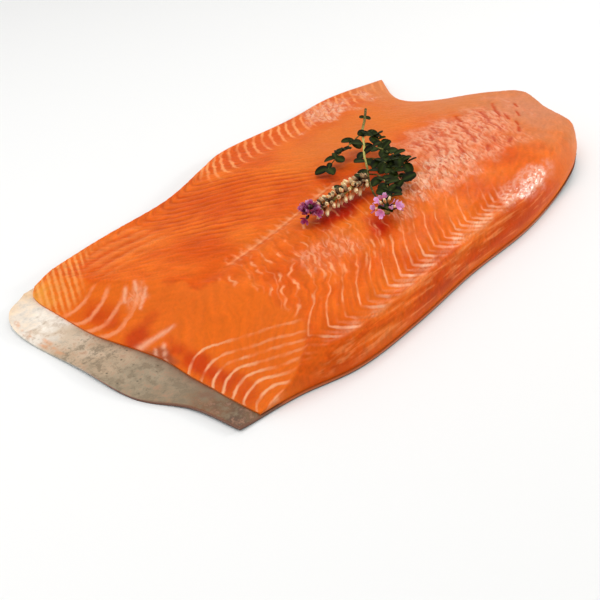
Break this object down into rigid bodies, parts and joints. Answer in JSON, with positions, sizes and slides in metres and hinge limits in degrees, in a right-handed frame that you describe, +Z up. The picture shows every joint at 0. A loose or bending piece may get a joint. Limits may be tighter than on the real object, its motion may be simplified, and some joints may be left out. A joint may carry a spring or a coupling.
{
  "type": "smoked salmon side",
  "caption": "Side of smoked fish lying on its skin, sliced at the tail end so that skin is left bare, with a flowering herb sprig laid on top.",
  "frame": {"origin": "on the surface it lies on, under the middle of the side", "axes": "+X along the fish from the sliced tail end to the head end, +Y across it from the back to the belly, +Z up"},
  "size_m": [0.3646, 0.1972, 0.0413],
  "materials": {
    "flesh": "moist, with pale lines between the flakes",
    "skin": "satin",
    "thyme": "matt leaves, with pink flowers"
  },
  "bodies": {
    "root": {"flesh": "flesh", "skin": "skin", "thyme_sprig": "thyme"}
  },
  "joints": []
}
